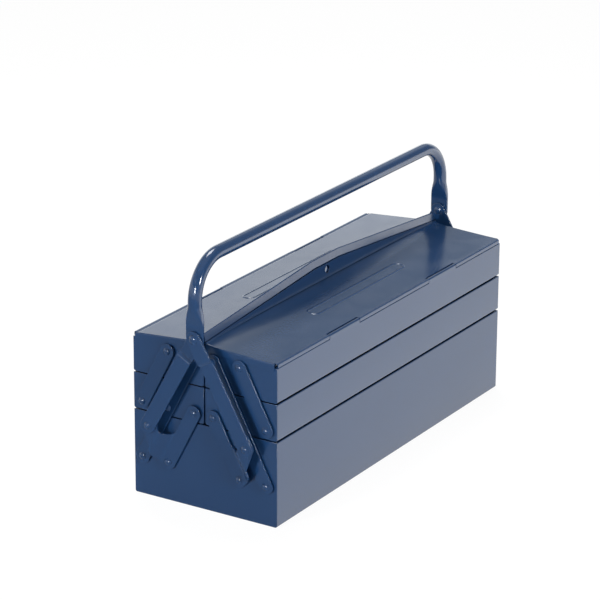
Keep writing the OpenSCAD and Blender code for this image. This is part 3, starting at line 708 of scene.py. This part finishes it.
def lid_panel(y_in, word):
    """The lid's sheet: its outer face is the slope with the bead added and the crease taken
    away, its inner face the same a sheet lower. Its grid is fine round the bead."""
    near, far = FINE_YS
    past = BEAD_HALF + BEAD_W / 2 + 1
    half = np.concatenate([np.linspace(0, FINE_X, 12), np.arange(FINE_X + FINE, past, FINE),
                           np.linspace(past + 1, LID_HALF - BEND, 22)])
    xs = np.concatenate([-half[:0:-1], half])
    ys = np.concatenate([np.linspace(y_in, near, 20), np.arange(near + FINE, far, FINE),
                         np.linspace(far + FINE, CROWN_Y - FINE, 10), np.linspace(CROWN_Y, CUT_BACK, 7)])
    x, y = np.meshgrid(xs, ys, indexing="ij")
    z = lid_top(x, y, word) + bead(x, y) - crease(y, CREASE[word])
    faces_of = [np.stack([x, y, z], -1), np.stack([x, y, z - SHEET], -1)[:, ::-1]]
    return carried(np.concatenate(faces_of, 1))


def lid_flange(y_in, word):
    """The end flange: a quarter bend and a drop, carried along the lid's slope."""
    bend = arc((LID_HALF - BEND, -BEND), BEND - SHEET / 2, 90, 0, 15)
    section = sheet_section(np.vstack([bend, [[LID_HALF - SHEET / 2, -FLANGE_DROP]]]))
    ys = np.concatenate([np.linspace(y_in, 30, 14), np.linspace(36, CROWN_Y, 9),
                         np.linspace(CROWN_Y + 0.6, FLANGE_Y, 7)])
    top = lid_top(HALF_LEN, ys, word) - crease(ys, CREASE[word])
    rings = np.empty((len(ys), len(section), 3))
    rings[:, :, 0] = section[None, :, 0]
    rings[:, :, 1] = ys[:, None]
    rings[:, :, 2] = section[None, :, 1] + top[:, None]
    return carried(rings)


def lid_roll(word):
    """Middle line of the lid's outer edge, rolled round the wire: over its top, round a
    small corner, down a nearly upright face, round a sharp corner and on underneath."""
    start = [[CUT_BACK, lid_top(HALF_LEN, CUT_BACK, word) - SHEET / 2 - CREASE[word]]]
    over = arc((HINGE_Y, HINGE_Z), curl, ROLL_FROM[word], 88, 8)
    high_round, low_round = arc(HIGH_CORNER, HIGH_R, 85, 0, 15), arc(LOW_CORNER, LOW_R, 0, -90, 30)
    under = arc((HINGE_Y, HINGE_Z), curl, -90, -200, 12)
    return np.vstack([start, over, high_round, low_round, under])


def evened(outline, step):
    """The closed outline's points, with more between them along every straight run, an
    even step apart at most."""
    loop = np.vstack([outline, outline[:1]])
    run = np.concatenate([[0], np.cumsum(np.linalg.norm(np.diff(loop, axis=0), axis=1))])
    at = np.unique(np.round(np.concatenate([run[:-1], np.arange(0, run[-1] - step / 3, step)]), 6))
    kept = np.isin(at, np.round(run[:-1], 6))
    away = np.abs(at[:, None] - at[kept][None])
    near = away.min(1, where=away > 0, initial=np.inf)
    at = at[kept | (near > step / 3)]
    return np.stack([np.interp(at, run, loop[:, 0]), np.interp(at, run, loop[:, 1])], 1)


def ridge_height(x, foot, word):
    """Top of a ridge: level in the middle, then falling straight to the ends."""
    fall = np.clip((np.abs(x) - RIDGE_FLAT) / (LID_HALF - RIDGE_FLAT), 0, 1)
    high = RIDGE_UP - RIDGE_DROP[word]
    low = max(RIDGE_END_UP - RIDGE_DROP[word], RIDGE_LEAST)
    return foot + high + (low - high) * fall


def ridge_stand(y, foot, word):
    """The upright part of a ridge, with the padlock hole, made flat in (x, z) and stood up.
    It leans back evenly, so that its crest is the given step behind its foot."""
    crest_xs = np.array([LID_HALF, RIDGE_FLAT, -RIDGE_FLAT, -LID_HALF])
    crest = np.column_stack([crest_xs, ridge_height(crest_xs, foot, word) - RIDGE_TRIM[word]])
    base = np.column_stack([ridge_xs, foot + SHEET / 2 + swell(ridge_xs, word)])
    hole = arc((0, PADLOCK_Z), PADLOCK_R, 360, 7.5, 7.5)
    points, faces = plate([evened(np.vstack([base, crest]), RIDGE_PITCH), hole], 0.0, SHEET, RIDGE_EDGE)
    x, z, out = points.T
    part_up = np.clip((z - foot) / (ridge_height(x, foot, word) - foot), 0, 1)
    return np.stack([x, y + out + RIDGE_BACK[word] * part_up, z], 1), faces


for side, word in SIDES:
    body = f"{word}_lid_body"
    y_up = RIDGE_Y[word]
    y_toe = y_up + SHEET + BEND - SHEET / 2
    foot = float(lid_top(HALF_LEN, y_up, word))
    finished(f"{word}_lid_panel", mirrored([lid_panel(y_toe, word)], 1, side),
             lid_enamel, body, [f"{word}_lid"])
    roll = sheet_section(lid_roll(word))
    barrel = [along_x(roll, np.linspace(-MID_KNUCKLE, MID_KNUCKLE, 3))]
    end_barrel = [along_x(roll, np.linspace(tray_span[1] + KNUCKLE_GAP, HINGE_END, 3))]
    flange = [lid_flange(y_up + SHEET, word)]
    rims = barrel + mirrored(end_barrel, -1) + end_barrel + mirrored(flange, -1) + flange
    finished(f"{word}_lid_rims", mirrored(rims, 1, side),
             lid_enamel, body, [f"{word}_lid_edges"])
    toe = np.vstack([[[y_toe, lid_top(HALF_LEN, y_toe, word) - SHEET / 2]],
                     arc((y_up + BEND, foot + SHEET / 2), BEND - SHEET / 2, 270, 180, 15)])
    parts = [along_x(sheet_section(toe), ridge_xs, swell(ridge_xs, word)), ridge_stand(y_up, foot, word)]
    if word == "rear":  # its crest is folded over the front ridge into a hem
        fold = arc((y_up + RIDGE_BACK[word] + SHEET / 2 - RIM_R, -RIDGE_TRIM[word]), RIM_R, 0, 180, 20)
        hem = sheet_section(np.vstack([fold, [[y_up - RIDGE_HEM_OUT, -RIDGE_HEM]]]))
        parts.append(along_x(hem, hem_xs, ridge_height(hem_xs, foot, word)))
    finished(f"{word}_lid_upstand", mirrored(parts, 1, side),
             lid_enamel, body, [f"{word}_lid_ridge"])

# ---- Rivets and washers ----
# Domed steel rivets join the links to the trays, with a plain washer behind each
# link. All are enamelled with the box.
RIVET_R, HEAD_R, HEAD_H, TAIL_R, TAIL_H = 2.5, 4.8, 2.5, 4.0, 1.4
LINK_OUT, LINK_T, RUN_GAP = 1.5, 2.2, 0.1
HEAD_OUT = LINK_OUT + LINK_T + RUN_GAP
PIVOTS = (13.5, 50.0, 86.5)
BASE_PIVOT_Z = 50.0

rivet_enamel = enamel("rivet_enamel", {"Peel depth": 0.00001, "Wave depth": 0.0},
                      {"Gloss low": 0.10, "Gloss high": 0.15})


def dome(r, h):
    """Half section of a dome of radius r and height h, from its crown to its foot: the cap
    of a ball of radius (r * r + h * h) / 2h."""
    ball = (r * r + h * h) / (2 * h)
    half = np.degrees(np.arcsin(min(r / ball, 1)))
    return arc((0, h - ball), ball, 90, 90 - half, 7)


def rivet(seat, closed, head=(HEAD_R, HEAD_H), tail=(TAIL_R, TAIL_H), shank=RIVET_R):
    """A rivet along X: a tail dome below closed, the shank, and a head dome above seat."""
    tail_dome, head_dome = dome(*tail), dome(*head)
    low = np.column_stack([closed - tail_dome[:, 1], tail_dome[:, 0]])
    high = np.column_stack([seat + head_dome[:, 1], head_dome[:, 0]])[::-1]
    return turned_part(np.vstack([low, [[closed, shank], [seat, shank]], high]), 36)


def rivet_row(part, spots):
    """The same rivet stood at every spot (y, z), on both ends of the box."""
    points, faces = part
    return [(points * [end, 1, 1] + [end * HALF_LEN, y, z], faces) for end, _ in ENDS for y, z in spots]


link_rivet = rivet(HEAD_OUT, -SHEET)
base_spots = [(side * y, BASE_PIVOT_Z) for side, _ in SIDES for y in PIVOTS[1:]]
finished("base_rivet_heads", rivet_row(link_rivet, base_spots),
         rivet_enamel, "base", ["base_rivets"])
for side, word in SIDES:
    for level, ys, z in (("mid", PIVOTS, MID_PIVOT_Z), ("top", PIVOTS[:2], TOP_PIVOT_Z)):
        finished(f"{word}_{level}_rivet_heads", rivet_row(link_rivet, [(side * y, z) for y in ys]),
                 rivet_enamel, f"{word}_{level}_tray", [f"{word}_{level}_rivets"])
for name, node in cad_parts.items():
    if name.endswith("washers"):
        node.data.materials.clear()
        node.data.materials.append(rivet_enamel)

# ---- Links ----
# Flat bars punched from thicker strip. The long ones carry both trays of a side,
# the short ones keep the top tray level.
LINK_W, LINK_EDGE = 18.5, 0.4
link_in, link_up = PIVOTS[2] - PIVOTS[1], MID_PIVOT_Z - BASE_PIVOT_Z
LINK_LEAN = np.degrees(np.arctan2(link_in, link_up))
LINK_LEN = float(np.hypot(link_in, link_up))

link_enamel = enamel("link_enamel", {"Wave depth": 0.0001}, {"Gloss low": 0.12, "Gloss high": 0.18})


def bar_outline(length, width):
    """A bar along the second axis with half-round ends about (0, 0) and (0, length)."""
    return np.vstack([arc((0, 0), width / 2, 180, 360, 7.5), arc((0, length), width / 2, 0, 180, 7.5)])


link_kinds = (("long", "long", 2 * LINK_LEN, BASE_PIVOT_Z), ("short", "upper", LINK_LEN, MID_PIVOT_Z))
for side, word in SIDES:
    for end, hand in ENDS:
        for shown, kind, length, foot_z in link_kinds:
            bar = plate([bar_outline(length, LINK_W)], LINK_OUT, LINK_OUT + LINK_T, LINK_EDGE)
            finished(f"{word}_{hand}_{shown}_bar", [stood(bar, end, side, (PIVOTS[2], foot_z), LINK_LEAN)],
                     link_enamel, f"{word}_{kind}_links", [f"{word}_{kind}_link_{hand}"])

# ---- Wing links ----
# The inner lower links are pressed wider, with a wing that steps out over the long
# link and carries the handle's arm on a rivet.
WING_RISE, WING_BEND, WING_SLOPE = 13.3, 11.25, 12.5
WING_PIN = (68.0, 98.0)
ARM_W, ARM_T = 19.5, 2.5
NOTCH_UP, LOBE = 43.0, (16.0, 7.0)
OUTLINE_STEP, WING_PITCH = 0.9, 1.6
WING_OUT = LINK_OUT + WING_RISE
ARM_OUT = WING_OUT + LINK_T + RUN_GAP
lean_cos, lean_sin = np.cos(np.radians(LINK_LEAN)), np.sin(np.radians(LINK_LEAN))
pin_step = np.array(WING_PIN) - [PIVOTS[1], BASE_PIVOT_Z]
pin = (pin_step[0] * lean_cos + pin_step[1] * lean_sin, pin_step[1] * lean_cos - pin_step[0] * lean_sin)


def wing_outline():
    """Round the link bar, the lobe, the pin's boss and the round notch beside the boss."""
    r, boss = LINK_W / 2, ARM_W / 2
    notch = (pin[0] - boss - r) / 2
    low = np.degrees(np.arctan2(LOBE[1], LOBE[0])) - 90
    side = np.degrees(np.arctan2(pin[1], pin[0])) - 90
    off = np.array(LOBE) @ [np.cos(np.radians(side)), np.sin(np.radians(side))]
    meet = side + np.degrees(np.arccos((boss - off) / r))
    runs = [arc((0, 0), r, 180, 360 + low, 5), arc(LOBE, r, low, meet, 5), arc(pin, boss, side, 0, 5),
            arc((pin[0], NOTCH_UP), boss, 0, 180, 5), arc((r + notch, NOTCH_UP), notch, 0, -180, 5),
            arc((0, LINK_LEN), r, 0, 180, 5)]
    return evened(np.vstack(runs), OUTLINE_STEP)


def stepped(part, start, run, rise, axis, soft=1.0):
    """Bends a flat plate along one axis: its middle rises by a ramp with rounded corners,
    the difference of two soft corners log(1 + exp(q / soft)), and each point keeps its
    distance along the slope's normal."""
    points, faces = part
    points = points.copy()
    q = points[:, axis]
    mid = (points[:, 2].max() + points[:, 2].min()) / 2
    out = points[:, 2] - mid
    a, b = (q - start) / soft, (q - start - run) / soft
    rate = rise / run
    lift = rate * soft * (np.logaddexp(0, a) - np.logaddexp(0, b))
    slope = rate * (1 / (1 + np.exp(-a)) - 1 / (1 + np.exp(-b)))
    length = np.sqrt(1 + slope * slope)
    points[:, axis] = q - out * slope / length
    points[:, 2] = mid + lift + out / length
    return points, faces


flat_wing = plate([wing_outline()], LINK_OUT, LINK_OUT + LINK_T, LINK_EDGE, WING_PITCH)
wing_plate = stepped(flat_wing, WING_BEND, WING_SLOPE, WING_RISE, 0)
wing_rivet = rivet(ARM_OUT + ARM_T + RUN_GAP, WING_OUT)
for side, word in SIDES:
    body = f"{word}_wing_links"
    for end, hand in ENDS:
        wing = stood(wing_plate, end, side, (PIVOTS[1], BASE_PIVOT_Z), LINK_LEAN)
        finished(f"{word}_{hand}_wing", [wing],
                 link_enamel, body, [f"{word}_wing_link_{hand}"])
    finished(f"{word}_wing_rivet_heads", rivet_row(wing_rivet, [(side * WING_PIN[0], WING_PIN[1])]),
             rivet_enamel, body, [f"{word}_wing_rivets"])

# ---- Handle arms ----
# Straight flat bars from the wings up to the handle. Each has a small step near its
# top, so that the two of one end lie on both sides of the handle's flat.
ARM_LEN = 140.0
APEX_Z = float(WING_PIN[1] + np.sqrt(ARM_LEN ** 2 - WING_PIN[0] ** 2))
ARM_LEAN = np.degrees(np.arctan2(WING_PIN[0], APEX_Z - WING_PIN[1]))
ARM_BEND, ARM_STEP_RUN, APEX_STEP = ARM_LEN - 32.0, 2.6, 3.2
ARM_EDGE, ARM_PITCH, ARM_SOFT = 0.45, 1.0, 0.35

arm_outline = evened(bar_outline(ARM_LEN, ARM_W), OUTLINE_STEP)
flat_arm = plate([arm_outline], ARM_OUT, ARM_OUT + ARM_T, ARM_EDGE, ARM_PITCH)
for side, word in SIDES:
    for end, hand in ENDS:
        arm = stepped(flat_arm, ARM_BEND, ARM_STEP_RUN, side * end * APEX_STEP, 1, ARM_SOFT)
        finished(f"{word}_{hand}_handle_arm", [stood(arm, end, side, WING_PIN, ARM_LEAN)],
                 link_enamel, f"{word}_arms", [f"{word}_arm_{hand}"])

# ---- Handle ----
# One steel tube bent over at both corners. Its ends are pressed flat, rounded and
# hung between the arms on two large rivets.
TUBE_R = 8.0
GRIP_Z = APEX_Z + 92.0
LEG_X = HALF_LEN + ARM_OUT + ARM_T / 2
TUBE_BEND = 48.0
FLAT_T, FLAT_W, FLAT_TOP, PRESSED = 3.5, 24.0, APEX_Z + 16.0, 24.0
SQUEEZE, SQUEEZED, SHORN = 1.0, 70.0, 0.8
FLAT_SQUARE, ROUND_SQUARE, SWELL_POWER = 6, 2, 0.75
APEX_GAP = APEX_STEP + RUN_GAP
WIDE, TALLER, APEX_SHANK, APEX_WASHER = 1.0, 0.4, 3.0, 0.5

handle_enamel = enamel("handle_enamel", {"Peel depth": 0.00001, "Wave size": 20.0, "Wave depth": 0.0001},
                       {"Gloss low": 0.10, "Gloss high": 0.15})


def tube_half():
    """Stations of the tube from its flat end to the middle of the grip: place, the
    direction along it, its half thickness in the bend's plane, its half width across,
    and the power of its section. It goes from flat to round by a smooth step over the
    foot of the leg, and its round part is a little oval at first."""
    foot, round_z = APEX_Z - FLAT_W / 2, GRIP_Z - TUBE_BEND
    z_end = APEX_Z - FLAT_W / 2 * np.cos(np.radians(np.linspace(0, 90, 14)))
    z = np.concatenate([z_end, np.linspace(APEX_Z + 1.5, FLAT_TOP - 2, 6),
                        np.linspace(FLAT_TOP - 1, round_z, 26)])
    t = eased((z - FLAT_TOP) / PRESSED)
    slow = SQUEEZE * (1 - eased((z - FLAT_TOP) / SQUEEZED))
    half_t = FLAT_T / 2 + (TUBE_R - FLAT_T / 2) * t ** SWELL_POWER - slow * t
    half_w = FLAT_W / 2 + (TUBE_R - FLAT_W / 2) * t + slow * t
    half_w = np.where(z < APEX_Z, np.sqrt(np.maximum((FLAT_W / 2) ** 2 - (APEX_Z - z) ** 2, 0)), half_w)
    edge = np.clip((z - foot) / SHORN, 0, 1)
    half_t = half_t * np.sqrt(1 - (1 - edge) ** 2)
    square = FLAT_SQUARE + (ROUND_SQUARE - FLAT_SQUARE) * t
    leg = (-LEG_X, z, 0, 1, half_t, half_w, square)
    a = np.radians(np.linspace(0, 90, 25)[1:])
    bend_x = TUBE_BEND - LEG_X
    slow = SQUEEZE * (1 - eased((round_z - FLAT_TOP + TUBE_BEND * a) / SQUEEZED))
    bend = (bend_x - TUBE_BEND * np.cos(a), round_z + TUBE_BEND * np.sin(a), np.sin(a), np.cos(a),
            TUBE_R - slow, TUBE_R + slow, ROUND_SQUARE)
    grip = (np.linspace(bend_x, 0, 13)[1:], GRIP_Z, 1, 0, TUBE_R, TUBE_R, ROUND_SQUARE)
    return np.vstack([np.stack(np.broadcast_arrays(*run), 1) for run in (leg, bend, grip)])


def tube(stations, steps=56):
    """Carries a section |u / a| ** n + |v / b| ** n = 1 along the stations: u lies in the
    bend's plane, square to the way along, and v is across the box."""
    x, z, dx, dz, a, b, n = stations.T[:, :, None]
    angle = np.radians(np.arange(steps) * 360 / steps)[None, :]
    c, s = np.cos(angle), np.sin(angle)
    u = a * np.sign(c) * np.abs(c) ** (2 / n)
    v = b * np.sign(s) * np.abs(s) ** (2 / n)
    return carried(np.stack([x - u * dz, v, z + u * dx], -1))


half_tube = tube_half()
other_half = half_tube[-2::-1] * [-1, 1, 1, -1, 1, 1, 1]
finished("carrying_handle", [tube(np.vstack([half_tube, other_half]))],
         handle_enamel, "handle_body", ["handle"], crease=40)
# The apex washer lies outside the arms at the right end, and inside them at the left.
heads = []
for end, washers in ((-1, (0, APEX_WASHER)), (1, (APEX_WASHER, 0))):
    points, faces = rivet(ARM_OUT + ARM_T + APEX_GAP + washers[0], ARM_OUT - APEX_GAP - washers[1],
                          (HEAD_R + WIDE, HEAD_H + TALLER), (TAIL_R + WIDE, TAIL_H), APEX_SHANK)
    heads.append((points * [end, 1, 1] + [end * HALF_LEN, 0, APEX_Z], faces))
finished("apex_rivet_heads", heads, rivet_enamel, "handle_body", ["apex_rivets"])
